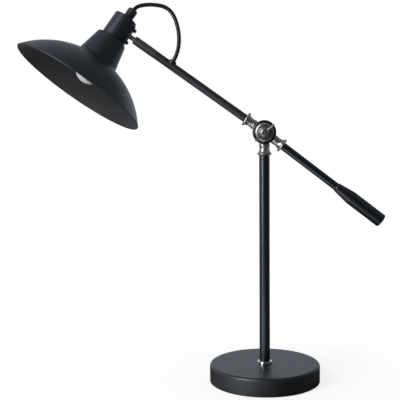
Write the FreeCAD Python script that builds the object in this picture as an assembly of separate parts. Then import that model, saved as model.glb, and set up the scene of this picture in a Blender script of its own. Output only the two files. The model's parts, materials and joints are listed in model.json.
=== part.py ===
"""Swing arm desk lamp: weighted base, post, wing-nut knuckle, counterbalanced arm, swivel and shade.

Millimetres, +Z up. The origin is the centre of the base's underside, on the table.
The arm lies in the XZ plane with the shade towards -X, and the wing nut faces -Y.
"""
import FreeCAD
import Part
import math
import os

from FreeCAD import Placement, Rotation, Vector

# ---------------------------------------------------------------- base
base_diameter = 168.5
base_height = 28.0
cover_wall = 1.2
cover_edge_radius = 4.0
cover_lift = 1.0            # the cover's lower edge stands this far above the table
pad_thickness = 2.0
pad_edge_gap = 0.6          # between the pad and the cover's inner wall
weight_side_gap = 5.0       # room for the lead between the weight and the cover
weight_boss_diameter = 60.0
weight_boss_height = 4.8
recess_diameter = 30.0      # underside recess for the clamping nut
recess_depth = 10.0
lead_channel_width = 9.0
lead_channel_height = 13.0
nipple_diameter = 10.0
nipple_reach = 17.0         # how far the nipple stands above the cover
nipple_tail = 8.5           # how far it hangs below the recess's roof
nut_across_flats = 17.0
nut_height = 6.0
washer_diameter = 22.0
washer_thickness = 1.5
outlet_height = 11.0        # centre of the lead's outlet above the table
outlet_bore_diameter = 6.5
outlet_body_diameter = 9.5
outlet_flange_diameter = 12.5
outlet_flange_thickness = 1.6
outlet_inner_length = 3.0

# ---------------------------------------------------------------- post
post_diameter = 16.0
post_wall = 1.5
pivot_height = 382.0
collar_diameter = 22.4
collar_height = 3.6
collar_edge_radius = 1.1
plug_length = 19.0

# ---------------------------------------------------------------- knuckle
knuckle_diameter = 35.6
knuckle_half = 8.5          # thickness of each half
knuckle_edge_radius = 2.2
friction_washer_thickness = 0.8
friction_washer_diameter = 29.0
running_gap = 0.3
bolt_diameter = 6.0
bolt_head_diameter = 13.6
bolt_head_rise = 3.2
bolt_recess = 1.4
bolt_square_length = 3.0
wire_chamber_inner = 12.0
wire_chamber_outer = 24.0
wire_chamber_depth = 4.0
wire_way_diameter = 5.0
dish_diameter = 28.4
dish_height = 3.6
dish_roll_width = 2.8       # the domed band round the dish's edge
dish_roll_height = 2.3
dish_roll_start = 0.5
dish_channel_level = 1.2
dish_wall_slope = 0.9       # how far the walls of the channel lean out
spring_washer_diameter = 11.6
spring_washer_thickness = 0.9
wing_nut_base_diameter = 14.6
wing_nut_base_height = 2.2
wing_nut_hub_diameter = 12.2
wing_nut_crown_diameter = 7.6
wing_nut_crown_height = 1.7 # the hub's domed end
wing_nut_height = 7.6
wing_reach = 18.8
wing_rise = 12.6
wing_thickness = 2.6
wing_angle = 41.0           # the wings' line above the horizontal

# ---------------------------------------------------------------- stems and ferrules
# Stations are distances from the pivot along the post or the arm.
ferrule_start = 21.5
post_stem_diameter = 15.6
post_ring_diameter = 17.4
post_tube_start = 27.5
post_ferrule_neck = 15.2
post_ferrule_rim = 22.8
post_ferrule_rim_station = 32.4
post_ferrule_end = 35.2
post_spigot_end = 48.0
arm_stem_diameter = 13.8
arm_ring_diameter = 15.2
arm_tube_start = 28.0
arm_ferrule_neck = 13.0
arm_ferrule_lip = 4.2       # thickness of the rounded lip
arm_ferrule_rim = 22.0
arm_ferrule_end = 34.6
arm_spigot_end = 46.0
ring_width = 2.0

# ---------------------------------------------------------------- arm
arm_diameter = 12.0
arm_wall = 1.0
head_arm_angle = 35.7       # rise of the head side above the horizontal
tail_arm_angle = 37.6       # fall of the counterweight side, which sags a little more
head_tube_end = 199.5
grommet_station = 171.4
grommet_diameter = 11.2
grommet_height = 2.7
grommet_neck_diameter = 7.8
counterweight_start = 135.6
counterweight_mouth = 13.8
counterweight_diameter = 20.8
counterweight_cone = 26.8
counterweight_length = 85.4
counterweight_edge_radius = 2.0
counterweight_socket = 22.0
stud_diameter = 8.0
stud_length = 24.0
stud_grip = 20.0            # how far the stud sits inside the tube

# ---------------------------------------------------------------- swivel
seam_washer_diameter = 12.4
seam_washer_thickness = 0.8
sleeve_diameter = 12.6
sleeve_length = 36.6
spindle_grip = 18.0         # pressed into the arm tube
spindle_diameter = 8.0
spindle_length = 19.0
spindle_screw_head = 7.4
spindle_screw_height = 2.2
spindle_screw_length = 9.0
sleeve_chamber_diameter = 9.6
stem_root_length = 7.0
stem_neck_diameter = 7.2
ball_diameter = 13.0
ball_station = 250.0

# ---------------------------------------------------------------- head
# Levels are heights above the shade's rim plane, along the shade's axis.
rim_diameter = 210.0
rim_bead = 2.8
sheet = 0.8
dome_height = 51.0
neck_foot_diameter = 63.6
neck_top_diameter = 47.0
neck_top_level = 90.2
neck_foot_fillet = 5.0
neck_top_fillet = 1.6
shade_hole_diameter = 28.2
cap_diameter = 36.0
cap_wall = 1.2
cap_height = 38.2
cap_edge_radius = 1.0
arm_level = 108.6           # where the arm's axis meets the shade's axis
ball_offset = 15.3          # ball centre from the shade's axis
shade_roll = 14.9           # the opening leans this far to the front
shade_tilt = 1.5            # and this far out of square with the arm
saddle_face = 19.7          # the saddle's flat face from the shade's axis
saddle_width = 16.0
saddle_end = 5.3            # metal of the saddle past the upper screw's axis
saddle_corner = 4.0
saddle_mouth = 11.0
clamp_end = 2.5             # metal of the clamp past each screw's axis
clamp_width = 15.0
clamp_face = 9.6            # the inner clamp's flat face from the shade's axis
clamp_screw_spacing = 21.4
clamp_screw_diameter = 3.0
clamp_screw_head = 5.4
clamp_screw_rise = 4.3
cross_slot_length = 3.2
cross_slot_width = 0.7
cross_slot_depth = 1.0
gland_diameter = 15.2
gland_height = 17.0
gland_offset = 1.8          # the grip sits this far off the cap's centre, towards the pivot
gland_collar_height = 4.0
gland_spigot_diameter = 10.0
gland_spigot_length = 5.0
socket_diameter = 27.6
socket_foot_level = 62.0
socket_flange_thickness = 2.0
shade_ring_diameter = 39.0
shade_ring_height = 4.0
shell_wall = 0.4
shell_length = 20.0
bulb_diameter = 45.0
bulb_tip_level = 12.2
bulb_length = 77.0
bulb_cap_diameter = 13.9
bulb_cap_length = 22.0
bulb_cap_flare = 2.0        # where the cap widens to meet the glass
bulb_cap_insulator = 3.0
bulb_neck_diameter = 17.0
socket_mouth_gap = 0.8      # round the bulb's neck

# ---------------------------------------------------------------- flex
flex_diameter = 6.0
loop_grip = 7.0             # the loop starts this far inside the gland
fit = 0.05                  # radial clearance of a pin or ball in its bore
bore_gap = 0.15             # radial clearance round the flex

# ---------------------------------------------------------------- worked out from the above
base_radius = base_diameter / 2
cover_underside = base_height - cover_wall
weight_radius = base_radius - cover_wall - weight_side_gap
recess_roof = pad_thickness + recess_depth
flex_bore = flex_diameter / 2 + bore_gap
post_radius = post_diameter / 2
post_bore = post_radius - post_wall
knuckle_radius = knuckle_diameter / 2
seam = friction_washer_thickness / 2
knuckle_face = seam + knuckle_half
knuckle_sweep = knuckle_radius + running_gap
arm_radius = arm_diameter / 2
arm_bore = arm_radius - arm_wall
sleeve_start = head_tube_end + seam_washer_thickness
sleeve_end = sleeve_start + sleeve_length
ball_radius = ball_diameter / 2
cap_radius = cap_diameter / 2
cap_top = neck_top_level + cap_height
gland_top = cap_top + gland_height
bulb_end = bulb_tip_level + bulb_length
bulb_centre = bulb_tip_level + bulb_diameter / 2


# ---------------------------------------------------------------- helpers
def turned(start, *steps):
    """Solid turned about Z: (radius, height) corners, or a pair of them for an arc through the first."""
    edges = []
    here = Vector(start[0], 0, start[1])
    for step in steps + (start,):
        if isinstance(step[0], tuple):
            through, end = [Vector(r, 0, h) for r, h in step]
            edges.append(Part.Arc(here, through, end).toShape())
        else:
            end = Vector(step[0], 0, step[1])
            edges.append(Part.LineSegment(here, end).toShape())
        here = end
    return Part.Face(Part.Wire(edges)).revolve(Vector(), Vector(0, 0, 1), 360)


def rod(radius, low, high):
    """Round bar about Z between two heights."""
    return Part.makeCylinder(radius, high - low, Vector(0, 0, low))


def tube(outer, inner, low, high):
    """Round tube about Z between two heights."""
    return rod(outer, low, high).cut(rod(inner, low, high))


def block(low, high):
    """Box between two opposite corners."""
    size = Vector(*high) - Vector(*low)
    return Part.makeBox(size.x, size.y, size.z, Vector(*low))


def fused(shape, *others):
    """One solid of touching or overlapping shapes, with no seams left between their faces."""
    return shape.fuse(list(others)).removeSplitter()


def frame_at(origin, x_axis, z_axis):
    """Placement with its Z along z_axis and its X along x_axis, which is square to it."""
    return Placement(origin, Rotation(x_axis, z_axis.cross(x_axis), z_axis, "ZXY"))


def placed(shape, frame):
    """Copy of a shape moved from local axes into the lamp's axes."""
    return shape.transformed(frame.toMatrix(), True)


def rounded(shape, radius, chosen):
    """Shape with the edges picked by the test given a fillet."""
    return shape.makeFillet(radius, [edge for edge in shape.Edges if chosen(edge)])


def is_circle(edge, radius, height):
    """True for a circular edge about Z of this radius at this height."""
    curve = edge.Curve
    if not isinstance(curve, Part.Circle):
        return False
    return abs(curve.Radius - radius) < 1e-4 and abs(curve.Center.z - height) < 1e-4


def save(name, shape):
    """Write one node, after checking that it is sound."""
    if not shape.isValid() or shape.Volume <= 0:
        raise ValueError(name + " is not a sound solid")
    shape.exportStep("parts/" + name + ".step")


# ---------------------------------------------------------------- frames
pivot = Vector(0, 0, pivot_height)
post_down = frame_at(pivot, Vector(1, 0, 0), Vector(0, 0, -1))
bolt_out = frame_at(pivot, Vector(1, 0, 0), Vector(0, -1, 0))


def arm_frame(degrees):
    """Frame at the pivot, Z along the arm and X square to it; degrees from +X, anticlockwise."""
    turn = math.radians(degrees)
    along = Vector(math.cos(turn), 0, math.sin(turn))
    across = Vector(abs(math.sin(turn)), 0, abs(math.cos(turn)))
    return frame_at(pivot, across, along)


head_side = arm_frame(180 - head_arm_angle)
tail_side = arm_frame(-tail_arm_angle)


def shade_frame():
    """Frame on the shade's rim plane, Z up the shade's axis and X towards the pivot, hung on the ball."""
    square_up = head_side.Rotation.multVec(Vector(1, 0, 0))
    to_pivot = head_side.Rotation.multVec(Vector(0, 0, -1))
    turn = Rotation(to_pivot, square_up.cross(to_pivot), square_up, "ZXY")
    turn = turn * Rotation(Vector(1, 0, 0), -shade_roll) * Rotation(Vector(0, 1, 0), -shade_tilt)
    ball_centre = head_side.multVec(Vector(0, 0, ball_station))
    return Placement(ball_centre - turn.multVec(Vector(ball_offset, 0, arm_level)), turn)


shade_axis = shade_frame()
gland_axis = shade_axis * Placement(Vector(gland_offset, 0, 0), Rotation())


# ---------------------------------------------------------------- base
def make_base():
    inner = base_radius - cover_wall
    edge = cover_edge_radius
    mid = math.sqrt(0.5)
    centre = (base_radius - edge, base_height - edge)
    small = edge - cover_wall
    hole = nipple_diameter / 2 + bore_gap
    cover = turned(
        (hole, base_height),
        (centre[0], base_height),
        ((centre[0] + edge * mid, centre[1] + edge * mid), (base_radius, centre[1])),
        (base_radius, cover_lift),
        (inner, cover_lift),
        (inner, centre[1]),
        ((centre[0] + small * mid, centre[1] + small * mid), (centre[0], cover_underside)),
        (hole, cover_underside),
    )
    outlet = frame_at(Vector(0, base_radius, outlet_height), Vector(1, 0, 0), Vector(0, 1, 0))
    hole_length = cover_wall + outlet_inner_length
    cover = cover.cut(placed(rod(outlet_body_diameter / 2, -hole_length, 1), outlet))
    save("base_cover", cover)

    shoulder = cover_underside - weight_boss_height
    weight = turned(
        (hole, cover_underside),
        (weight_boss_diameter / 2, cover_underside),
        (weight_boss_diameter / 2, shoulder),
        (weight_radius, shoulder),
        (weight_radius, pad_thickness),
        (recess_diameter / 2, pad_thickness),
        (recess_diameter / 2, recess_roof),
        (hole, recess_roof),
    )
    half = lead_channel_width / 2
    channel_roof = pad_thickness + lead_channel_height
    weight = weight.cut(block((-half, 0, pad_thickness), (half, base_radius, channel_roof)))
    save("base_weight", weight)
    save("base_pad", rod(base_radius - cover_wall - pad_edge_gap, 0, pad_thickness))

    flange_root = sagitta(base_radius, outlet_flange_diameter / 2)
    bush = fused(
        rod(outlet_body_diameter / 2 - bore_gap, -hole_length, 0),
        rod(outlet_flange_diameter / 2, -flange_root, outlet_flange_thickness),
    )
    bush = bush.cut(rod(outlet_bore_diameter / 2, -hole_length, outlet_flange_thickness))
    bush = rounded(bush, 0.5, lambda e: is_circle(e, outlet_flange_diameter / 2, outlet_flange_thickness))
    wall = tube(base_radius, inner, 0, base_height)
    wall = wall.cut(placed(rod(outlet_body_diameter / 2, -hole_length, 1), outlet))
    save("outlet_bush", placed(bush, outlet).cut(wall))

    washer_low = recess_roof - washer_thickness
    save("base_washer", tube(washer_diameter / 2, hole, washer_low, recess_roof))
    corner = nut_across_flats / 2 / math.cos(math.radians(30))
    turns = [math.radians(60 * i) for i in range(7)]
    hexagon = Part.makePolygon([Vector(corner * math.cos(a), corner * math.sin(a), 0) for a in turns])
    nut = Part.Face(hexagon).extrude(Vector(0, 0, nut_height))
    nut.translate(Vector(0, 0, washer_low - nut_height))
    nut = nut.cut(rod(nipple_diameter / 2 + fit, 0, base_height))
    save("base_nut", nut)
    nipple = tube(nipple_diameter / 2, flex_bore, recess_roof - nipple_tail, base_height + nipple_reach)
    save("base_nipple", nipple)


def sagitta(radius, half_chord):
    """How far a circle of this radius falls away over half a chord."""
    return radius - math.sqrt(radius ** 2 - half_chord ** 2)


# ---------------------------------------------------------------- post
def make_post():
    top = pivot_height - post_tube_start
    save("post_tube", tube(post_radius, post_bore, base_height, top))
    plug = tube(post_bore - fit, nipple_diameter / 2 + fit, base_height, base_height + plug_length)
    save("post_plug", plug)
    high = base_height + collar_height
    collar = tube(collar_diameter / 2, post_radius + fit, base_height, high)
    collar = rounded(collar, collar_edge_radius, lambda e: is_circle(e, collar_diameter / 2, high))
    save("foot_collar", collar)

    neck = post_ferrule_neck / 2
    rim = post_ferrule_rim / 2
    station = post_ferrule_rim_station
    ferrule = turned(
        (post_bore, ferrule_start),
        (post_stem_diameter / 2 + 0.3, ferrule_start),
        (neck, ferrule_start + 2.6),
        ((neck + 0.22 * (rim - neck), station - 4.2), (rim - 0.5, station - 0.7)),
        ((rim, station), (rim - 0.5, station + 0.7)),
        (post_radius + 0.8, post_ferrule_end),
        (post_radius + fit, post_ferrule_end),
        (post_radius + fit, post_tube_start),
        (post_bore, post_tube_start),
    )
    save("post_ferrule", placed(ferrule, post_down))
    save("post_flex", rod(flex_diameter / 2, recess_roof - nipple_tail, pivot_height - wire_turn))


# ---------------------------------------------------------------- knuckle
wire_turn = ferrule_start + 4.0     # station where the wires slant off towards their own half


def stem(stem_radius, ring_radius, spigot_radius, spigot_end):
    """Stem from inside the knuckle disc: round bar, beaded ring, shoulder and spigot."""
    ring_low = ferrule_start - 0.9 - ring_width
    ring_high = ferrule_start - 0.9
    half_ring = (ring_low + ring_high) / 2
    return turned(
        (0, wire_chamber_outer / 2),
        (stem_radius, wire_chamber_outer / 2),
        (stem_radius, ring_low),
        ((ring_radius, half_ring), (stem_radius, ring_high)),
        (stem_radius, ferrule_start),
        (spigot_radius, ferrule_start),
        (spigot_radius, spigot_end),
        (0, spigot_end),
    )


def wire_way(side, end):
    """Bore along a spigot that slants off into the knuckle half on the side given (+1 or -1 along Y)."""
    slant_end = Vector(0, side * (seam + wire_chamber_depth * 0.6), wire_chamber_outer / 2 - 1)
    slant_start = Vector(0, 0, wire_turn)
    slant = slant_end - slant_start
    straight = rod(flex_bore, wire_turn, end)
    return straight.fuse(Part.makeCylinder(wire_way_diameter / 2, slant.Length, slant_start, slant))


def half_disc(front):
    """Knuckle half in bolt axes, with its outer edge rounded and the wire chamber and bolt bore cut in."""
    edge = knuckle_edge_radius
    mid = edge * (1 - math.sqrt(0.5))
    bolt = bolt_diameter / 2 + fit
    disc = turned(
        (bolt, seam),
        (wire_chamber_inner / 2, seam),
        (wire_chamber_inner / 2, seam + wire_chamber_depth),
        (wire_chamber_outer / 2, seam + wire_chamber_depth),
        (wire_chamber_outer / 2, seam),
        (knuckle_radius, seam),
        (knuckle_radius, knuckle_face - edge),
        ((knuckle_radius - mid, knuckle_face - mid), (knuckle_radius - edge, knuckle_face)),
        (bolt, knuckle_face),
    )
    if front:
        return disc
    return disc.mirror(Vector(), Vector(0, 0, 1))


def make_knuckle():
    far = 2 * knuckle_face
    arm_stem = stem(arm_stem_diameter / 2, arm_ring_diameter / 2, arm_bore - fit, arm_spigot_end)
    front_room = placed(rod(knuckle_sweep, -far, seam), bolt_out)
    bolt_room = placed(rod(wire_chamber_outer / 2, seam, seam + wire_chamber_depth), bolt_out)
    stems = [placed(arm_stem, side).cut(front_room).cut(bolt_room) for side in (head_side, tail_side)]
    front = fused(placed(half_disc(True), bolt_out), *stems)
    front = front.cut(placed(wire_way(-1, arm_spigot_end), head_side))
    save("knuckle_front", front)

    post_stem = stem(post_stem_diameter / 2, post_ring_diameter / 2, post_bore - fit, post_spigot_end)
    rear_room = placed(rod(knuckle_sweep, -seam, far), bolt_out)
    chamber = placed(rod(wire_chamber_outer / 2, -seam - wire_chamber_depth, -seam), bolt_out)
    post_stem = placed(post_stem, post_down).cut(rear_room).cut(chamber)
    rear = fused(placed(half_disc(False), bolt_out), post_stem)
    rear = rear.cut(placed(wire_way(-1, post_spigot_end), post_down))
    head_room = rod(bolt_head_diameter / 2 + bore_gap, -knuckle_face, bolt_recess - knuckle_face)
    square = bolt_diameter / 2 + fit
    square_low = bolt_recess - knuckle_face
    key = block((-square, -square, square_low), (square, square, square_low + bolt_square_length))
    save("knuckle_rear", rear.cut(placed(head_room.fuse(key), bolt_out)))

    wide = tube(friction_washer_diameter / 2, wire_chamber_outer / 2, -seam, seam)
    save("friction_washer", placed(wide, bolt_out))
    make_bolt(square_low)
    make_dish()
    make_wing_nut()


def make_bolt(square_low):
    """Coach bolt: domed head at the back, square neck and a round shank out to the wing nut."""
    radius = bolt_head_diameter / 2
    crown = -knuckle_face - bolt_head_rise
    shoulder = (radius * math.sqrt(0.5), -knuckle_face - bolt_head_rise * 0.72)
    nose = wing_base_level() + wing_nut_height - 1.2
    shank = bolt_diameter / 2
    bolt = turned(
        (0, crown),
        (shoulder, (radius, -knuckle_face)),
        (radius, square_low),
        (shank, square_low),
        (shank, nose - 0.8),
        (shank - 0.8, nose),
        (0, nose),
    )
    square_high = square_low + bolt_square_length
    key = block((-shank, -shank, square_low), (shank, shank, square_high))
    save("pivot_bolt", placed(fused(bolt, key), bolt_out))


def wing_base_level():
    """Height of the wing nut's seat, in bolt axes."""
    return knuckle_face + dish_height + spring_washer_thickness


def make_dish():
    """Stepped dish under the wing nut: rolled outer edge, channel, and a raised seat in the middle."""
    low = knuckle_face
    high = low + dish_height
    radius = dish_diameter / 2
    seat = wing_nut_base_diameter / 2 + 1.0
    bore = bolt_diameter / 2 + fit
    wall_top = radius - dish_roll_width - dish_wall_slope / 2
    channel = low + dish_channel_level
    dish = turned(
        (bore, low),
        (radius, low),
        (radius, low + dish_roll_start),
        ((radius - dish_roll_width * 0.4, low + dish_roll_height * 0.7),
         (radius - dish_roll_width, low + dish_roll_height)),
        (wall_top, low + dish_roll_height),
        (wall_top - dish_wall_slope, channel),
        (seat + dish_wall_slope, channel),
        (seat, high - 0.5),
        ((seat - 0.2, high - 0.1), (seat - 0.7, high)),
        (bore, high),
    )
    save("knuckle_dish", placed(dish, bolt_out))
    washer = tube(spring_washer_diameter / 2, bore, high, high + spring_washer_thickness)
    save("spring_washer", placed(washer, bolt_out))


def make_wing_nut():
    """Round base, tapered hub and two upswept wings with rounded tips."""
    low = wing_base_level()
    base = wing_nut_base_diameter / 2
    hub = wing_nut_hub_diameter / 2
    bore = bolt_diameter / 2 + fit
    top = low + wing_nut_height
    foot = low + wing_nut_base_height
    crown = wing_nut_crown_diameter / 2
    dome = wing_nut_crown_height
    body = turned(
        (bore, low),
        (base, low),
        (base, foot - 0.8),
        ((base - 0.25, foot - 0.2), (base - 0.8, foot)),
        (hub, foot),
        (hub, top - dome),
        ((hub - (hub - crown) * 0.4, top - dome * 0.35), (crown, top)),
        (bore, top),
    )
    root = Vector(hub - 2.4, 0, foot)
    under = Vector(wing_reach * 0.62, 0, foot + 0.6)
    tip_low = Vector(wing_reach - 0.9, 0, low + wing_rise * 0.52)
    tip = Vector(wing_reach, 0, low + wing_rise * 0.76)
    tip_high = Vector(wing_reach - 2.2, 0, low + wing_rise)
    over = Vector(hub + 3.0, 0, low + wing_rise * 0.66)
    crotch = Vector(hub - 2.4, 0, top - 1.4)
    outline = Part.Wire([
        Part.Arc(root, under, tip_low).toShape(),
        Part.Arc(tip_low, tip, tip_high).toShape(),
        Part.Arc(tip_high, over, crotch).toShape(),
        Part.LineSegment(crotch, root).toShape(),
    ])
    wing = Part.Face(outline).extrude(Vector(0, wing_thickness, 0))
    wing.translate(Vector(0, -wing_thickness / 2, 0))
    wing = rounded(wing, 1.2, lambda e: e.BoundBox.YLength > 1 and e.BoundBox.XMin > hub + 1)
    outer = lambda e: e.BoundBox.YLength < 0.01 and e.BoundBox.XMax > hub + 1
    wing = rounded(wing, wing_thickness * 0.32, outer)
    other = wing.copy()
    other.rotate(Vector(), Vector(0, 0, 1), 180)
    nut = fused(body, wing, other)
    nut.rotate(Vector(), Vector(0, 0, 1), wing_angle)
    save("wing_nut", placed(nut, bolt_out))


# ---------------------------------------------------------------- arm
def arm_ferrule():
    """Trumpet over the tube's end: narrow neck at the knuckle, flared to a thick rounded lip."""
    neck = arm_ferrule_neck / 2
    lip = arm_ferrule_lip / 2
    rim = arm_ferrule_rim / 2
    lip_station = arm_ferrule_end - lip + 0.3
    return turned(
        (arm_bore, ferrule_start),
        (arm_stem_diameter / 2, ferrule_start),
        (neck, ferrule_start + 2.4),
        ((neck + 0.2 * (rim - neck), lip_station - lip * 2.2), (rim - lip * 0.8, lip_station - lip * 0.75)),
        ((rim, lip_station), (rim - lip, lip_station + lip)),
        (arm_radius + 1.6, arm_ferrule_end - 0.5),
        (arm_radius + 0.9, arm_ferrule_end),
        (arm_radius + fit, arm_ferrule_end),
        (arm_radius + fit, arm_tube_start),
        (arm_bore, arm_tube_start),
    )


def make_arm():
    save("head_ferrule", placed(arm_ferrule(), head_side))
    save("tail_ferrule", placed(arm_ferrule(), tail_side))
    across = frame_at(Vector(0, 0, grommet_station), Vector(0, 1, 0), Vector(1, 0, 0))
    head_tube = tube(arm_radius, arm_bore, arm_tube_start, head_tube_end)
    head_tube = head_tube.cut(placed(rod(grommet_neck_diameter / 2 + fit, 0, arm_diameter), across))
    save("head_tube", placed(head_tube, head_side))
    lead_end = grommet_station + flex_diameter / 2
    save("arm_flex", placed(rod(flex_diameter / 2, wire_turn, lead_end), head_side))

    dome = turned(
        (flex_bore, arm_radius - sagitta(arm_radius, grommet_diameter / 2)),
        (grommet_diameter / 2, arm_radius - sagitta(arm_radius, grommet_diameter / 2)),
        (grommet_diameter / 2, arm_radius + grommet_height * 0.35),
        ((grommet_diameter / 2 - 0.6, arm_radius + grommet_height * 0.78),
         (flex_bore + 0.7, arm_radius + grommet_height)),
        (flex_bore, arm_radius + grommet_height - 0.4),
    )
    outside = placed(dome, across).cut(rod(arm_radius, 0, head_tube_end))
    neck = tube(grommet_neck_diameter / 2, flex_bore, arm_bore - 0.6, arm_radius + 0.5)
    save("arm_grommet", placed(fused(outside, placed(neck, across)), head_side))

    end = counterweight_start + counterweight_socket
    save("tail_tube", placed(tube(arm_radius, arm_bore, arm_tube_start, end), tail_side))
    stud = rod(arm_bore - fit, end - stud_grip, end).fuse(rod(stud_diameter / 2, end, end + stud_length))
    save("tail_stud", placed(stud.removeSplitter(), tail_side))
    far = counterweight_start + counterweight_length
    edge = counterweight_edge_radius
    mid = edge * (1 - math.sqrt(0.5))
    wide = counterweight_diameter / 2
    mouth = counterweight_mouth / 2
    weight = turned(
        (arm_radius + fit, counterweight_start),
        (mouth - 0.5, counterweight_start),
        (mouth, counterweight_start + 0.8),
        (wide, counterweight_start + counterweight_cone),
        (wide, far - edge),
        ((wide - mid, far - mid), (wide - edge, far)),
        (0, far),
        (0, end + stud_length + 1),
        (stud_diameter / 2 + fit, end + stud_length + 1),
        (stud_diameter / 2 + fit, end),
        (arm_radius + fit, end),
    )
    save("counterweight", placed(weight, tail_side))


# ---------------------------------------------------------------- swivel
def make_swivel():
    journal_end = head_tube_end + spindle_length
    tapped = spindle_screw_length + 1
    spindle = turned(
        (0, head_tube_end - spindle_grip),
        (arm_bore - fit, head_tube_end - spindle_grip),
        (arm_bore - fit, head_tube_end),
        (spindle_diameter / 2, head_tube_end),
        (spindle_diameter / 2, journal_end),
        (clamp_screw_diameter / 2 + fit, journal_end),
        (clamp_screw_diameter / 2 + fit, journal_end - tapped),
        (0, journal_end - tapped),
    )
    save("swivel_spindle", placed(spindle, head_side))
    seam_washer = tube(seam_washer_diameter / 2, spindle_diameter / 2 + fit, head_tube_end, sleeve_start)
    save("seam_washer", placed(seam_washer, head_side))
    screw = fused(
        rod(spindle_screw_head / 2 + 0.8, journal_end, journal_end + 0.6),
        rod(spindle_screw_head / 2 - 0.8, journal_end, journal_end + spindle_screw_height),
        rod(clamp_screw_diameter / 2, journal_end - spindle_screw_length, journal_end),
    )
    save("spindle_screw", placed(screw, head_side))

    shelf = journal_end - bore_gap
    sleeve = turned(
        (spindle_diameter / 2 + fit, sleeve_start),
        (sleeve_diameter / 2 - 0.4, sleeve_start),
        (sleeve_diameter / 2, sleeve_start + 0.4),
        (sleeve_diameter / 2, sleeve_end - 0.8),
        (sleeve_diameter / 2 - 0.8, sleeve_end),
        (sleeve_chamber_diameter / 2, sleeve_end),
        (sleeve_chamber_diameter / 2, shelf),
        (spindle_diameter / 2 + fit, shelf),
    )
    save("swivel_sleeve", placed(sleeve, head_side))

    neck = stem_neck_diameter / 2
    reach = math.sqrt(ball_radius ** 2 - neck ** 2)
    root = sleeve_chamber_diameter / 2 - fit
    stem_body = turned(
        (0, sleeve_end - stem_root_length),
        (root, sleeve_end - stem_root_length),
        (root, sleeve_end),
        (neck, sleeve_end + 0.6),
        (neck, ball_station - reach),
        ((ball_radius, ball_station), (0, ball_station + ball_radius)),
    )
    save("ball_stem", placed(stem_body, head_side))


# ---------------------------------------------------------------- head
def shade_skin(offset):
    """Solid inside the shade's outer face moved inwards by offset: dome, tapered neck and flat top."""
    rim = rim_diameter / 2
    foot = neck_foot_diameter / 2
    centre = (foot ** 2 + dome_height ** 2 - rim ** 2 - rim_bead ** 2) / (2 * (dome_height - rim_bead))
    radius = math.hypot(foot, dome_height - centre) - offset
    slope = (foot - neck_top_diameter / 2) / (neck_top_level - dome_height)
    side = offset * math.hypot(1, slope)
    # The neck's side is r = reach - slope * height; it meets the dome where both hold.
    reach = foot + slope * dome_height - side
    a = 1 + slope ** 2
    b = -2 * (slope * reach + centre)
    c = reach ** 2 + centre ** 2 - radius ** 2
    meet = (-b + math.sqrt(b ** 2 - 4 * a * c)) / (2 * a)
    foot_here = reach - slope * meet
    top = neck_top_level - offset
    low = rim_bead / 2
    edge = math.sqrt(radius ** 2 - (low - centre) ** 2)
    half = (low + meet) / 2
    skin = turned(
        (0, low),
        (edge, low),
        ((math.sqrt(radius ** 2 - (half - centre) ** 2), half), (foot_here, meet)),
        (reach - slope * top, top),
        (0, top),
    )
    skin = rounded(skin, neck_foot_fillet + offset, lambda e: is_circle(e, foot_here, meet))
    top_fillet = max(neck_top_fillet - offset, 0.4)
    return rounded(skin, top_fillet, lambda e: is_circle(e, reach - slope * top, top)), edge


def make_shade():
    outer, rim = shade_skin(0)
    inner, rim_inner = shade_skin(sheet)
    below = rod(rim_inner, 0, rim_bead / 2)
    bead = Part.makeTorus(rim - rim_bead / 2, rim_bead / 2, Vector(0, 0, rim_bead / 2))
    shade = outer.cut([inner, rod(shade_hole_diameter / 2, 0, neck_top_level + 1)])
    shade = shade.fuse(bead.cut(inner.fuse(below)).fuse(bead.common(outer)))
    save("shade", placed(keep_largest(shade.removeSplitter()), shade_axis))


def keep_largest(shape):
    """The largest solid of a shape."""
    return max(shape.Solids, key=lambda solid: solid.Volume)


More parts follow.
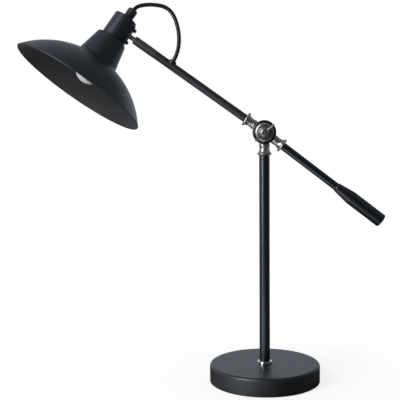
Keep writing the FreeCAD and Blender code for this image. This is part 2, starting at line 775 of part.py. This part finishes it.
def make_cap():
    edge = cap_edge_radius
    ball = Part.makeSphere(ball_radius + fit, Vector(ball_offset, 0, arm_level))
    screw_level = arm_level + clamp_screw_spacing / 2
    to_pivot = frame_at(Vector(0, 0, arm_level), Vector(0, 1, 0), Vector(1, 0, 0))
    levels = (arm_level - clamp_screw_spacing / 2, screw_level)
    screws = [frame_at(Vector(0, 0, level), Vector(0, 1, 0), Vector(1, 0, 0)) for level in levels]
    screw_hole = clamp_screw_diameter / 2 + fit
    holes = [placed(rod(screw_hole, clamp_face, cap_diameter), frame) for frame in screws]

    cap = tube(cap_radius, cap_radius - cap_wall, neck_top_level, cap_top - cap_wall)
    cap = fused(cap, rod(cap_radius, cap_top - cap_wall, cap_top))
    cap = rounded(cap, edge, lambda e: is_circle(e, cap_radius, cap_top))
    port = placed(rod(ball_radius + running_gap, clamp_face, cap_diameter), to_pivot)
    wire_hole = rod(gland_spigot_diameter / 2 + fit, cap_top - 2 * cap_wall, cap_top + 1)
    wire_hole.translate(Vector(gland_offset, 0, 0))
    save("lamp_cap", placed(cap.cut(holes + [port, wire_hole]), shade_axis))

    half = saddle_width / 2
    high = screw_level + saddle_end
    saddle = block((ball_offset, -half, neck_top_level), (saddle_face, half, high))
    corners = [e for e in saddle.Edges if e.BoundBox.ZMin > high - 0.01 and e.BoundBox.XLength > 1]
    saddle = saddle.makeFillet(saddle_corner, corners)
    front = [e for e in saddle.Edges if e.BoundBox.XMin > saddle_face - 0.01]
    saddle = saddle.makeFillet(0.6, front)
    mouth = placed(rod(saddle_mouth / 2, ball_offset, cap_diameter), to_pivot)
    saddle = saddle.cut([rod(cap_radius, 0, cap_top + 1), ball, mouth] + holes)
    save("ball_saddle", placed(keep_largest(saddle), shade_axis))

    width = clamp_width / 2
    half = clamp_screw_spacing / 2 + clamp_end
    clamp = block((clamp_face, -width, arm_level - half), (cap_radius, width, arm_level + half))
    clamp = clamp.common(rod(cap_radius - cap_wall, 0, cap_top)).cut([ball] + holes)
    save("ball_clamp", placed(keep_largest(clamp), shade_axis))

    shank = clamp_screw_diameter / 2
    head = clamp_screw_head / 2
    screw = turned(
        (0, clamp_face),
        (shank, clamp_face),
        (shank, saddle_face),
        (head - 0.5, saddle_face),
        (head - 0.5, saddle_face + 0.7),
        (head, saddle_face + 1.0),
        (head, saddle_face + clamp_screw_rise - 1.3),
        ((head * 0.75, saddle_face + clamp_screw_rise - 0.4), (head * 0.3, saddle_face + clamp_screw_rise)),
        (0, saddle_face + clamp_screw_rise),
    )
    crest = saddle_face + clamp_screw_rise
    reach = cross_slot_length / 2
    slot = cross_slot_width / 2
    screw = screw.cut([block((-reach, -slot, crest - cross_slot_depth), (reach, slot, crest + 1)),
                       block((-slot, -reach, crest - cross_slot_depth), (slot, reach, crest + 1))])
    pair = Part.makeCompound([placed(screw, frame) for frame in screws])
    save("clamp_screws", placed(pair, shade_axis))


def make_gland():
    """Cord grip on the cap's end: spigot through the cap, round collar and domed clamping nut."""
    radius = gland_diameter / 2
    waist = cap_top + gland_collar_height
    gland = turned(
        (flex_bore, cap_top - gland_spigot_length),
        (gland_spigot_diameter / 2, cap_top - gland_spigot_length),
        (gland_spigot_diameter / 2, cap_top),
        (radius, cap_top),
        (radius, waist - 0.5),
        (radius - 0.5, waist),
        (radius - 0.5, waist + 0.4),
        (radius - 0.1, waist + 0.8),
        (radius - 0.1, gland_top - 2.2),
        ((radius - 0.7, gland_top - 0.7), (radius - 2.2, gland_top - 0.1)),
        (flex_bore + 0.6, gland_top),
        (flex_bore, gland_top - 0.6),
    )
    save("cable_gland", placed(gland, gland_axis))
    wires_end = gland_top - loop_grip - running_gap
    wires = rod(flex_diameter / 2, neck_top_level + socket_flange_thickness, wires_end)
    save("head_flex", placed(wires, gland_axis))


def make_lampholder():
    radius = socket_diameter / 2
    shell_outer = bulb_cap_diameter / 2 + fit + shell_wall
    floor = bulb_end + 0.2
    mouth = bulb_neck_diameter / 2 + socket_mouth_gap
    mouth_end = bulb_end - bulb_cap_length + bulb_cap_flare
    flange = neck_top_level + socket_flange_thickness
    flange_radius = cap_radius - cap_wall - bore_gap
    socket = turned(
        (shell_outer, mouth_end),
        (mouth, mouth_end),
        (mouth, socket_foot_level),
        (radius - 1.5, socket_foot_level),
        (radius, socket_foot_level + 1.5),
        (radius, neck_top_level),
        (flange_radius, neck_top_level),
        (flange_radius, flange),
        (0, flange),
        (0, floor),
        (shell_outer, floor),
    )
    save("lampholder", placed(socket, shade_axis))
    ring_low = neck_top_level - sheet - shade_ring_height
    ring = tube(shade_ring_diameter / 2, radius + fit, ring_low, neck_top_level - sheet)
    ring = rounded(ring, 1.0, lambda e: is_circle(e, shade_ring_diameter / 2, ring_low))
    save("shade_ring", placed(ring, shade_axis))
    shell = tube(shell_outer, shell_outer - shell_wall, floor - shell_length, floor)
    save("contact_shell", placed(shell, shade_axis))


def make_bulb():
    """Round opal bulb whose glass draws in to the screw cap."""
    radius = bulb_diameter / 2
    cap = bulb_cap_diameter / 2
    cap_low = bulb_end - bulb_cap_length
    neck = bulb_neck_diameter / 2
    flare = radius * 0.72
    shoulder = bulb_centre + math.sqrt(radius ** 2 - flare ** 2)
    glass = turned(
        (0, bulb_tip_level),
        ((radius * math.sqrt(0.5), bulb_centre - radius * math.sqrt(0.5)), (radius, bulb_centre)),
        ((radius * math.cos(0.4), bulb_centre + radius * math.sin(0.4)), (flare, shoulder)),
        ((neck + 1.0, (shoulder + cap_low) / 2 + 0.6), (neck, cap_low)),
        (0, cap_low),
    )
    save("bulb_glass", placed(glass, shade_axis))
    tip = bulb_end - bulb_cap_insulator
    base = turned(
        (0, cap_low),
        (neck - 0.4, cap_low),
        (cap, cap_low + bulb_cap_flare),
        (cap, tip),
        (cap * 0.55, bulb_end - 0.6),
        (cap * 0.3, bulb_end),
        (0, bulb_end),
    )
    save("bulb_cap", placed(base, shade_axis))


# ---------------------------------------------------------------- cable loop
# The loop's route from inside the gland to inside the arm, through the grommet: (x, y, z).
loop_route = [
    (-198.0, 7.6, 559.3),
    (-193.0, 9.9, 566.7),
    (-185.0, 10.9, 571.3),
    (-167.3, 12.3, 573.0),
    (-144.4, 11.9, 569.0),
    (-131.7, 9.8, 553.0),
    (-125.1, 5.5, 523.6),
    (-129.1, 0.0, 496.1),
    (-137.3, 0.0, 484.7),
]


def route_edges(points):
    """Straight runs joined by tangent arcs, each arc as large as its two runs allow, and the arcs' radii."""
    edges = []
    radii = []
    here = points[0]
    for before, corner, after in zip(points, points[1:], points[2:]):
        into = (corner - before).normalize()
        away = (after - corner).normalize()
        half_turn = into.getAngle(away) / 2
        trim = 0.45 * min((corner - before).Length, (after - corner).Length)
        radius = trim / math.tan(half_turn)
        start = corner - into * trim
        end = corner + away * trim
        inward = (away - into).normalize()
        middle = corner + inward * (radius / math.cos(half_turn) - radius)
        edges.append(Part.LineSegment(here, start).toShape())
        edges.append(Part.Arc(start, middle, end).toShape())
        radii.append(radius)
        here = end
    edges.append(Part.LineSegment(here, points[-1]).toShape())
    return edges, radii


def make_loop():
    points = [Vector(*p) for p in loop_route]
    edges, radii = route_edges(points)
    path = Part.Wire(edges)
    direction = (points[1] - points[0]).normalize()
    section = Part.Wire(Part.makeCircle(flex_diameter / 2, points[0], direction))
    loop = path.makePipeShell([section], True, False)
    expected = math.pi * (flex_diameter / 2) ** 2 * path.Length
    print("cable loop: length %.1f, radii %s" % (path.Length, [round(r, 1) for r in radii]))
    print("cable loop: volume %.1f, section times length %.1f" % (loop.Volume, expected))
    save("cable_loop", loop)


os.makedirs("parts", exist_ok=True)
make_base()
make_post()
make_knuckle()
make_arm()
make_swivel()
make_shade()
make_cap()
make_gland()
make_lampholder()
make_bulb()
make_loop()
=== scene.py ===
"""Looks of the swing arm desk lamp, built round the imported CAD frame.

Lengths are in metres and +Z is up. The wing nut faces -Y, where the photograph was taken from.
"""

import json
import math

import bmesh
import bpy
import numpy as np
from mathutils import Matrix, Vector


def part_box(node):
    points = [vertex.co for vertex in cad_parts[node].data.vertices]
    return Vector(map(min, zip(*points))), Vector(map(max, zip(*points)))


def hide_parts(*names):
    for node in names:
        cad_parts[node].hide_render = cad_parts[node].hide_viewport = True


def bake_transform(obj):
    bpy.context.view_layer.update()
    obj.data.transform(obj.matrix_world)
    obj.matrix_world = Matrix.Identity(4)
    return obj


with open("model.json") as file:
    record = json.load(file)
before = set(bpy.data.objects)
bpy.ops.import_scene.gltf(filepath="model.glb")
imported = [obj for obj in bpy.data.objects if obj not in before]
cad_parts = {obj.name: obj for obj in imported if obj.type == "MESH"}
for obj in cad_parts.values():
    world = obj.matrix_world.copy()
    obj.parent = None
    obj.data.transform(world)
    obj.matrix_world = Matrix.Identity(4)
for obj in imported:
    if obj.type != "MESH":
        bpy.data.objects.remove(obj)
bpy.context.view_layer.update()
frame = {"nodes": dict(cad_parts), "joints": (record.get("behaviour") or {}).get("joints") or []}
nodes = frame["nodes"]
joints = {joint["name"]: joint for joint in frame["joints"]}
arm_along = Vector(joints["head_roll"]["axis"]).normalized()      # from the pivot towards the head
pivot = Vector(joints["arm_tilt"]["pos_m"])
upright = (0, 0, 1)
white = (1, 1, 1)


# ---------------------------------------------------------------- camera
# The photograph's viewpoint: place, heading, fall, lean, and focal length and shift in pixels of its frame.
photo_pixels = 400
camera_place = Vector((-0.0202, -1.4236, 0.4461))
camera_yaw, camera_pitch, camera_roll = (math.radians(a) for a in (3.066, 6.672, -0.567))
focal_pixels = 949.7
shift_pixels = (-0.5, 0.5)

level_right = Vector((math.cos(camera_yaw), math.sin(camera_yaw), 0))
ahead = Vector((
    -math.sin(camera_yaw) * math.cos(camera_pitch),
    math.cos(camera_yaw) * math.cos(camera_pitch),
    -math.sin(camera_pitch),
))
level_up = level_right.cross(ahead)
right = level_right * math.cos(camera_roll) + level_up * math.sin(camera_roll)
up = level_up * math.cos(camera_roll) - level_right * math.sin(camera_roll)
facing = Matrix((right, up, -ahead)).transposed().to_4x4()

lens = bpy.data.cameras.new("camera")
lens.sensor_width = 36
lens.lens = focal_pixels / photo_pixels * lens.sensor_width
lens.shift_x, lens.shift_y = (shift / photo_pixels for shift in shift_pixels)
lens.clip_start, lens.clip_end = 0.05, 50
camera = bpy.data.objects.new("camera", lens)
camera.matrix_world = Matrix.Translation(camera_place) @ facing
bpy.context.scene.collection.objects.link(camera)
bpy.context.scene.camera = camera


# ---------------------------------------------------------------- node trees
class Graph:
    """A node tree of a material or the world, and short ways to add to it."""

    def __init__(self, tree, coordinate):
        self.tree = tree
        self.where = self.add("ShaderNodeTexCoord").outputs[coordinate]

    def add(self, kind, inputs=None, **settings):
        """A new node with its inputs set to values or linked to other nodes' outputs."""
        node = self.tree.nodes.new(kind)
        for key, value in settings.items():
            setattr(node, key, value)
        for key, value in (inputs or {}).items():
            if isinstance(value, bpy.types.NodeSocket):
                self.tree.links.new(value, node.inputs[key])
            else:
                node.inputs[key].default_value = value
        return node

    def run(self, value, start, end, low, high, **settings):
        """A number that runs from low to high as value runs from start to end."""
        wanted = {"Value": value, "From Min": start, "From Max": end, "To Min": low, "To Max": high}
        return self.add("ShaderNodeMapRange", wanted, **settings).outputs["Result"]


noise_low, noise_high = 0.3, 0.7          # where a noise mostly stays within its 0 to 1


class Surface(Graph):
    """A material with its Principled shader.

    A noise's scale is in cells to the metre and its detail in octaves.
    """

    def __init__(self, name, **sockets):
        self.material = bpy.data.materials.new(name)
        self.material.use_nodes = True
        super().__init__(self.material.node_tree, "Object")
        self.shader = self.tree.nodes["Principled BSDF"]
        for socket, value in sockets.items():
            self.shader.inputs[socket.replace("_", " ")].default_value = value

    def link(self, output, socket):
        self.tree.links.new(output, self.shader.inputs[socket])

    def noise(self, scale, detail, roughness=0.5, vector=None):
        wanted = {"Vector": vector or self.where, "Scale": scale, "Detail": detail, "Roughness": roughness}
        return self.add("ShaderNodeTexNoise", wanted).outputs["Fac"]

    def colour(self, noise, first, second, start=noise_low, end=noise_high):
        """Base colour, from the first to the second as noise runs from start to end."""
        wanted = {"Factor": self.run(noise, start, end, 0, 1), "A": (*first, 1), "B": (*second, 1)}
        mixed = self.add("ShaderNodeMix", wanted, data_type="RGBA")
        self.link(mixed.outputs["Result"], "Base Color")

    def rough(self, noise, least, most):
        """Roughness, from least to most."""
        self.link(self.run(noise, noise_low, noise_high, least, most), "Roughness")

    def bump(self, noise, depth):
        """Relief as deep as depth in metres."""
        made = self.add("ShaderNodeBump", {"Height": noise, "Distance": depth, "Strength": 1.0})
        self.link(made.outputs["Normal"], "Normal")

    def along(self, axis, squeeze):
        """Object coordinates drawn out along an axis, for grain that runs that way."""
        turn = Vector(axis).rotation_difference(Vector(upright)).to_euler()
        turned = self.add("ShaderNodeMapping", {"Vector": self.where, "Rotation": tuple(turn)})
        drawn = {"Vector": turned.outputs["Vector"], "Scale": (1.0, 1.0, squeeze)}
        return self.add("ShaderNodeMapping", drawn).outputs["Vector"]


# ---------------------------------------------------------------- materials
def powder_coat(name, dark, light, rough, peel=0.00006, gloss=1.0, tint=(0.72, 0.84, 1.0)):
    """Satin powder coat: fine orange peel, faint clouding and a roughness that varies a little."""
    m = Surface(name, Specular_IOR_Level=gloss, Specular_Tint=(*tint, 1.0))
    m.colour(m.noise(scale=14, detail=4), dark, light)
    m.rough(m.noise(scale=45, detail=5, roughness=0.6), rough - 0.02, rough + 0.025)
    m.bump(m.noise(scale=1500, detail=2), peel)
    return m.material


def chrome(name, colour, tarnish, rough):
    """Plated metal with polishing haze and faint tarnish."""
    m = Surface(name, Metallic=1.0)
    m.colour(m.noise(scale=130, detail=5, roughness=0.65), colour, tarnish, start=0.40, end=0.75)
    m.rough(m.noise(scale=260, detail=4), rough - 0.03, rough + 0.05)
    m.bump(m.noise(scale=380, detail=3), depth=0.00002)
    return m.material


def brushed(name, colour, dark, rough, axis, metallic=1.0, grain=900):
    """Metal or lacquer with fine streaks along an axis."""
    m = Surface(name, Metallic=metallic)
    streaks = m.noise(scale=grain, detail=4, roughness=0.6, vector=m.along(axis, squeeze=0.03))
    m.colour(streaks, colour, dark)
    m.rough(streaks, rough - 0.06, rough + 0.1)
    m.bump(streaks, depth=0.00003)
    return m.material


def moulded(name, dark, light, rough, grain=900, depth=0.00005, gloss=0.45):
    """Moulded plastic or rubber with a fine spark-eroded grain."""
    m = Surface(name, Specular_IOR_Level=gloss)
    m.colour(m.noise(scale=60, detail=4), dark, light)
    m.rough(m.noise(scale=200, detail=3), rough - 0.05, rough + 0.07)
    m.bump(m.noise(scale=grain, detail=3), depth)
    return m.material


def cast(name, dark, light):
    """Cast iron: pitted and blotchy."""
    m = Surface(name, Metallic=0.6)
    m.colour(m.noise(scale=90, detail=6, roughness=0.7), dark, light)
    m.rough(m.noise(scale=300, detail=4), 0.5, 0.8)
    m.bump(m.noise(scale=500, detail=5, roughness=0.7), depth=0.0003)
    return m.material


def opal(name, dark, light):
    """Opal glass of the bulb: milky with a soft sheen."""
    m = Surface(name, Coat_Weight=0.6, Coat_Roughness=0.10)
    m.colour(m.noise(scale=35, detail=3), dark, light)
    m.rough(m.noise(scale=120, detail=3), 0.3, 0.4)
    return m.material


coat_shade = powder_coat("coat_shade", (0.0030, 0.0032, 0.0038), (0.0050, 0.0054, 0.0062), 0.44)
coat_base = powder_coat(
    "coat_base", (0.0036, 0.0032, 0.0028), (0.0056, 0.0052, 0.0048), 0.42,
    gloss=0.85, tint=(0.80, 0.89, 1.0))
coat_tube = powder_coat(
    "coat_tube", (0.0035, 0.0036, 0.0040), (0.0055, 0.0057, 0.0062), 0.29, peel=0.00004)
coat_arm = powder_coat(
    "coat_arm", (0.0045, 0.0046, 0.0048), (0.0065, 0.0067, 0.0070), 0.50, tint=(0.84, 0.92, 1.0))
# The shade's matte black inner coat, painted lighter and cooler than the outer coat to stand in for light
# bouncing inside the dome.
inside_coat_painted_bounce = powder_coat(
    "inside_coat_painted_bounce", (0.0108, 0.0114, 0.0122), (0.0162, 0.0170, 0.0182), 0.55,
    gloss=0.6, tint=(0.86, 0.92, 1.0))
dark_chrome = chrome("dark_chrome", (0.42, 0.41, 0.395), (0.30, 0.29, 0.28), 0.30)
bright_chrome = chrome("bright_chrome", (0.52, 0.505, 0.49), (0.38, 0.37, 0.36), 0.27)
polished_chrome = chrome("polished_chrome", (0.80, 0.81, 0.82), (0.66, 0.67, 0.68), 0.13)
black_chrome = chrome("black_chrome", (0.085, 0.080, 0.075), (0.050, 0.047, 0.044), 0.24)
gunmetal = chrome("gunmetal", (0.19, 0.185, 0.18), (0.12, 0.117, 0.115), 0.26)
sleeve_grey = brushed(
    "sleeve_grey", (0.11, 0.115, 0.12), (0.010, 0.0105, 0.011), 0.42, arm_along, metallic=0.2, grain=480)
stem_steel = brushed("stem_steel", (0.50, 0.49, 0.47), (0.26, 0.25, 0.24), 0.26, arm_along)
hidden_steel = brushed("hidden_steel", (0.45, 0.46, 0.47), (0.3, 0.3, 0.31), 0.35, upright)
brass = brushed("brass", (0.70, 0.52, 0.24), (0.45, 0.32, 0.14), 0.3, upright)
bulb_metal = brushed("bulb_metal", (0.6, 0.6, 0.58), (0.4, 0.4, 0.39), 0.28, upright)
black_plastic = moulded("black_plastic", (0.016, 0.017, 0.019), (0.024, 0.026, 0.029), 0.42)
cable_black = moulded(
    "cable_black", (0.007, 0.007, 0.008), (0.012, 0.012, 0.014), 0.34, grain=500, depth=0.00001, gloss=0.34)
glossy_rubber = moulded(
    "glossy_rubber", (0.010, 0.010, 0.011), (0.018, 0.018, 0.02), 0.25, grain=700, depth=0.00002)
pad_rubber = moulded(
    "pad_rubber", (0.014, 0.014, 0.014), (0.028, 0.028, 0.028), 0.8, grain=1300, depth=0.0003)
cast_iron = cast("cast_iron", (0.07, 0.07, 0.07), (0.15, 0.14, 0.135))
opal_glass = opal("opal_glass", (0.88, 0.91, 0.95), (0.92, 0.945, 0.97))

finish = {
    coat_shade: ("shade", "lamp_cap", "ball_saddle"),
    coat_base: ("base_cover",),
    coat_tube: ("post_tube", "tail_tube", "counterweight"),
    coat_arm: ("head_tube",),
    dark_chrome: ("knuckle_dish", "wing_nut"),
    bright_chrome: (
        "head_ferrule", "tail_ferrule", "post_ferrule", "seam_washer", "knuckle_front", "knuckle_rear",
    ),
    polished_chrome: ("foot_collar",),
    gunmetal: ("ball_clamp", "clamp_screws"),
    sleeve_grey: ("swivel_sleeve",),
    stem_steel: ("ball_stem",),
    hidden_steel: (
        "base_washer", "base_nut", "base_nipple", "post_plug", "pivot_bolt", "spring_washer", "tail_stud",
        "swivel_spindle", "spindle_screw",
    ),
    brass: ("contact_shell",),
    bulb_metal: ("bulb_cap",),
    black_plastic: ("outlet_bush", "friction_washer", "cable_gland", "lampholder", "shade_ring"),
    cable_black: ("post_flex", "arm_flex", "head_flex", "cable_loop"),
    glossy_rubber: ("arm_grommet",),
    pad_rubber: ("base_pad",),
    cast_iron: ("base_weight",),
    opal_glass: ("bulb_glass",),
}
for material, names in finish.items():
    for name in names:
        mesh = nodes[name].data
        mesh.materials.clear()
        mesh.materials.append(material)


# ---------------------------------------------------------------- second finishes of a node
def add_finish(mesh, material, wears):
    """A second material on the faces that wears picks out."""
    mesh.materials.append(material)
    for face in mesh.polygons:
        face.material_index = int(wears(face))


def turning_axis(mesh):
    """Centre and axis of a mesh that is the same all round.

    The axis is the direction along which its points spread unlike the other two.
    """
    points = np.array([vertex.co for vertex in mesh.vertices])
    centre = points.mean(0)
    spread, directions = np.linalg.eigh(np.cov((points - centre).T))
    odd = 0 if spread[1] - spread[0] > spread[2] - spread[1] else 2
    axis = Vector(directions[:, odd])
    return Vector(centre), axis if axis.z > 0 else -axis


shade_centre, shade_axis = turning_axis(nodes["shade"].data)
slant_in, slant_down = -0.05, -0.2        # how far an inner face leans in, or down out of the mouth


def inside_shade(face):
    out = face.center - shade_centre
    out -= shade_axis * out.dot(shade_axis)
    return face.normal.dot(out.normalized()) < slant_in or face.normal.dot(shade_axis) < slant_down


# The friction washer is 14.5 mm in radius, and the discs on both its sides end just inside 17.9 mm.
disc_over_washer = 17.9 / 14.5
disc_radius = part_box("friction_washer")[1][0] * disc_over_washer


def on_disc(face):
    out = face.center - pivot
    out.y = 0
    return out.length < disc_radius


# The inside of the shade gets the matte inner coat with its painted bounce light.
add_finish(nodes["shade"].data, inside_coat_painted_bounce, inside_shade)
for name in ("knuckle_front", "knuckle_rear"):
    add_finish(nodes[name].data, black_chrome, on_disc)      # black nickel discs between bright stems


# ---------------------------------------------------------------- cable loop
# The same route as the CAD tube's, from inside the gland to inside the arm.
loop_route = [
    (-0.1980, 0.0076, 0.5593),
    (-0.1930, 0.0099, 0.5667),
    (-0.1850, 0.0109, 0.5713),
    (-0.1673, 0.0123, 0.5730),
    (-0.1444, 0.0119, 0.5690),
    (-0.1317, 0.0098, 0.5530),
    (-0.1251, 0.0055, 0.5236),
    (-0.1291, 0.0000, 0.4961),
    (-0.1373, 0.0000, 0.4847),
]
cable_radius = 0.003
cable_sides = 24


def centreline(route):
    """Points along the smooth curve that a route's points control."""
    curve = bpy.data.curves.new("route", "CURVE")
    curve.dimensions = "3D"
    curve.resolution_u = 16
    spline = curve.splines.new("NURBS")
    spline.points.add(len(route) - 1)
    for point, place in zip(spline.points, route):
        point.co = (*place, 1)
    spline.order_u = 3
    spline.use_endpoint_u = True
    holder = bpy.data.objects.new("route", curve)
    line = bpy.data.meshes.new_from_object(holder)
    points = [vertex.co.copy() for vertex in line.vertices]
    bpy.data.objects.remove(holder)
    bpy.data.curves.remove(curve)
    bpy.data.meshes.remove(line)
    return points


def rings_along(path, radius, sides):
    """Rings of points round a path, square to it and with no twist from one to the next."""
    tangents = [(b - a).normalized() for a, b in zip([path[0]] + path[:-1], path[1:] + [path[-1]])]
    side = tangents[0].orthogonal().normalized()
    turns = [2 * math.pi * i / sides for i in range(sides)]
    rings = []
    for point, tangent in zip(path, tangents):
        side = (side - tangent * side.dot(tangent)).normalized()
        other = tangent.cross(side)
        rings.append([point + (side * math.cos(a) + other * math.sin(a)) * radius for a in turns])
    return rings


def tube(name, places):
    """A round tube through rings of points, with a sharp edge round the flat cap at each end."""
    mesh = bpy.data.meshes.new(name)
    bm = bmesh.new()
    rings = [[bm.verts.new(place) for place in ring] for ring in places]
    sides = len(rings[0])
    for low, high in zip(rings, rings[1:]):
        for i in range(sides):
            j = (i + 1) % sides
            bm.faces.new((low[i], low[j], high[j], high[i]))
    for cap in (list(reversed(rings[0])), rings[-1]):
        for edge in bm.faces.new(cap).edges:
            edge.smooth = False
    bmesh.ops.recalc_face_normals(bm, faces=bm.faces)
    for face in bm.faces:
        face.smooth = len(face.verts) == 4
    bm.to_mesh(mesh)
    bm.free()
    made = bpy.data.objects.new(name, mesh)
    bpy.context.scene.collection.objects.link(made)
    return made


def length_of(path):
    return sum((b - a).length for a, b in zip(path, path[1:]))


line = centreline(loop_route)
rings = rings_along(line, cable_radius, cable_sides)
middle = min(range(len(line)), key=lambda i: abs(length_of(line[:i + 1]) - 0.5 * length_of(line)))
halves = [
    ("cable_loop_head", slice(0, middle + 1), "head"),
    ("cable_loop_arm", slice(middle, None), "arm"),
]
# The loop is cut at the middle of its length into two halves, one at the head's end and one at the arm's
# end.
for name, part, carrier in halves:
    piece = tube(name, rings[part])
    piece.data.materials.append(cable_black)
    if carrier == "head":
        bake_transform(piece)
    else:
        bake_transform(piece)
    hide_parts("cable_loop")


# ---------------------------------------------------------------- stage and light
class Field(Graph):
    """Numbers worked out from a place or a direction, and from the kind of ray that asks."""

    def __init__(self, tree, coordinate):
        super().__init__(tree, coordinate)
        rays = self.add("ShaderNodeLightPath").outputs
        self.x, self.y, self.z = self.add("ShaderNodeSeparateXYZ", {"Vector": self.where}).outputs
        self.direct = rays["Is Camera Ray"]
        self.mirrored = self.larger(rays["Is Glossy Ray"], rays["Is Transmission Ray"])

    def maths(self, operation, first, second):
        return self.add("ShaderNodeMath", {0: first, 1: second}, operation=operation).outputs[0]

    def times(self, first, second):
        return self.maths("MULTIPLY", first, second)

    def larger(self, first, second):
        return self.maths("MAXIMUM", first, second)

    def fade(self, value, span, low, high):
        """From low to high as value runs through a span, with soft ends."""
        return self.run(value, *span, low, high, interpolation_type="SMOOTHSTEP")

    def mix(self, factor, first, second):
        return self.add("ShaderNodeMix", {"Factor": factor, "A": first, "B": second}).outputs["Result"]

    def distance(self, centre):
        wanted = {0: self.where, 1: centre}
        return self.add("ShaderNodeVectorMath", wanted, operation="DISTANCE").outputs["Value"]


floor_reach = 12
floor_drop = 0.0002                       # clear of the base's underside
floor_pale, floor_pale_mirrored = 0.30, 0.20
floor_warmth = (1.0, 0.97, 0.92)
glow_span, glow_near = (0.1, 0.6), 0.82   # distance from the post over which the floor turns white
# Painted pool of light: a floor patch to the front left that glows only for mirrored rays.
painted_pool_centre = (-0.26, -0.34, 0.0)         # lit patch to the front left, which the base's side mirrors
painted_pool_span = (0.20, 0.40)                  # distance from that centre over which the patch ends
# Painted lit floor behind the lamp: a glow that only mirrored rays see, rising with y.
painted_floor_behind_span, painted_floor_behind_strength = (0.15, 0.6), 0.40


def floor_material():
    """Pale floor that keeps the lamp's shadow.

    To the camera it fades into white around the lamp. Gloss sees a painted pool of light to the front left
    and a painted lit floor behind, glows that only mirrored rays see.
    """
    material = bpy.data.materials.new("floor")
    material.use_nodes = True
    f = Field(material.node_tree, "Object")
    shader = material.node_tree.nodes["Principled BSDF"]
    shader.inputs["Roughness"].default_value = 0.9
    shader.inputs["Specular IOR Level"].default_value = 0.0
    shader.inputs["Emission Color"].default_value = (*white, 1)
    glow = f.times(f.fade(f.distance((0, 0, 0)), glow_span, glow_near, 1.0), f.direct)
    # Painted pool of light, glowing only in reflections.
    painted_pool = f.times(f.fade(f.distance(painted_pool_centre), painted_pool_span, 1.0, 0.0), f.mirrored)
    # Painted lit floor behind, glowing only in reflections.
    painted_floor_behind = f.times(f.fade(f.y, painted_floor_behind_span, 0.0, painted_floor_behind_strength), f.mirrored)
    shown = f.larger(glow, f.larger(painted_pool, painted_floor_behind))
    f.tree.links.new(shown, shader.inputs["Emission Strength"])
    pale = f.mix(f.mirrored, floor_pale, floor_pale_mirrored)
    red, green, blue = (f.times(pale, share) for share in floor_warmth)
    colour = f.add("ShaderNodeCombineColor", {"Red": red, "Green": green, "Blue": blue})
    f.tree.links.new(colour.outputs["Color"], shader.inputs["Base Color"])
    return material


# The studio's walls by direction, as gloss mirrors them. A direction's x, y and z run from -1 to 1.
across = (-0.3, 0.3)                      # x: left wall to right wall
rear_across = (-0.1, 0.5)                 # x: left to right of the rear wall and the backdrop
front_to_sides = (-0.95, -0.35)           # y
sides_to_rear = (-0.4, 0.4)               # y
rear_to_backdrop = (0.5, 0.85)            # y
rear_height = (0.6, 0.9)                  # z: rear wall to ceiling
backdrop_foot = (-0.5, -0.3)              # z
backdrop_top = (0.10, 0.45)               # z
wall_front, wall_left, wall_right = 0.04, 0.34, 0.22
wall_rear = (0.62, 0.22)
ceiling_share = 0.6
backdrop_white = (1.0, 0.8)
# The dim fill that lights the lamp from all round, front to rear.
fill_span, fill_strength = (-0.3, 0.6), (0.12, 0.45)
# The cool tint of the walls and the fill, whose blue is 1.
tint_red, tint_green = 0.83, 0.91


def studio_world():
    """White to the camera, a white backdrop in a dimmer studio to gloss, and a cool fill to the rest."""
    world = bpy.data.worlds.new("studio")
    world.use_nodes = True
    f = Field(world.node_tree, "Generated")
    sides = f.fade(f.x, across, wall_left, wall_right)
    room = f.mix(f.fade(f.y, front_to_sides, 0.0, 1.0), wall_front, sides)
    rear = f.times(f.fade(f.x, rear_across, *wall_rear), f.fade(f.z, rear_height, 1.0, ceiling_share))
    room = f.mix(f.fade(f.y, sides_to_rear, 0.0, 1.0), room, rear)
    height = f.times(f.fade(f.z, backdrop_foot, 0.0, 1.0), f.fade(f.z, backdrop_top, 1.0, 0.0))
    backdrop = f.times(f.fade(f.y, rear_to_backdrop, 0.0, 1.0), height)
    gloss = f.mix(backdrop, room, f.fade(f.x, rear_across, *backdrop_white))
    fill = f.fade(f.y, fill_span, *fill_strength)
    strength = f.mix(f.direct, f.mix(f.mirrored, fill, gloss), 1.0)
    tint = f.add("ShaderNodeCombineColor", {
        "Red": f.mix(f.direct, tint_red, 1.0),
        "Green": f.mix(f.direct, tint_green, 1.0),
        "Blue": 1.0,
    })
    background = f.tree.nodes["Background"]
    f.tree.links.new(strength, background.inputs["Strength"])
    f.tree.links.new(tint.outputs["Color"], background.inputs["Color"])
    bpy.context.scene.world = world


mesh = bpy.data.meshes.new("floor")
signs = ((-1, -1), (1, -1), (1, 1), (-1, 1))
mesh.from_pydata([(x * floor_reach, y * floor_reach, 0) for x, y in signs], [], [(0, 1, 2, 3)])
floor = bpy.data.objects.new("floor", mesh)
floor.location.z = -floor_drop
floor.data.materials.append(floor_material())
bpy.context.scene.collection.objects.link(floor)
studio_world()


def softbox(name, place, target, size, power):
    """Rectangular area lamp that faces a point."""
    light = bpy.data.lights.new(name, "AREA")
    light.shape = "RECTANGLE"
    light.size, light.size_y = size
    light.energy = power
    lamp = bpy.data.objects.new(name, light)
    lamp.location = place
    lamp.rotation_euler = (Vector(target) - Vector(place)).to_track_quat("-Z", "Y").to_euler()
    bpy.context.scene.collection.objects.link(lamp)


# The key stands 45 degrees to the camera's left, and reaches from below the base to above the shade.
softbox("key", place=(-1.65, -1.6, 1.0), target=(0, 0, 0.35), size=(0.9, 2.2), power=52)

bpy.context.scene.view_settings.view_transform = "Standard"
